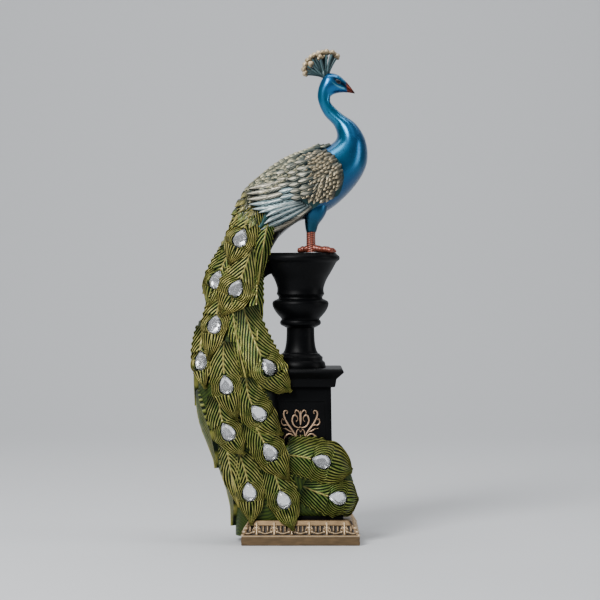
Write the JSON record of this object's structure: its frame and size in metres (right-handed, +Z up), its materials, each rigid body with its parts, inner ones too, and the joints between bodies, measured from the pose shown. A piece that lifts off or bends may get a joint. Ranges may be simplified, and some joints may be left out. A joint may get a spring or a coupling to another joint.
{
  "type": "peacock figurine",
  "caption": "Standing figurine: a peacock on an urn and square pedestal, its long crystal-set train falling to the plinth.",
  "frame": {"origin": "middle of the plinth's flat underside", "axes": "+Z up, the bird faces +X, the side with the falling jewelled train in front is -Y"},
  "size_m": [0.129, 0.086, 0.359],
  "materials": {
    "painted_resin": "hand-painted cast resin: pearl blue body, gilded green train, champagne wings, satin black pedestal, antique gold plinth",
    "crystal": "clear faceted crystal with a silvered back"
  },
  "bodies": {
    "root": {"gem_01": "crystal", "gem_02": "crystal", "gem_03": "crystal", "gem_04": "crystal", "gem_05": "crystal", "gem_06": "crystal", "gem_07": "crystal", "gem_08": "crystal", "gem_09": "crystal", "gem_10": "crystal", "gem_11": "crystal", "gem_12": "crystal", "gem_13": "crystal", "gem_14": "crystal", "gem_15": "crystal", "gem_16": "crystal", "gem_17": "crystal", "gem_18": "crystal", "gem_19": "crystal", "gem_20": "crystal", "peacock_casting": "painted_resin"}
  },
  "joints": []
}
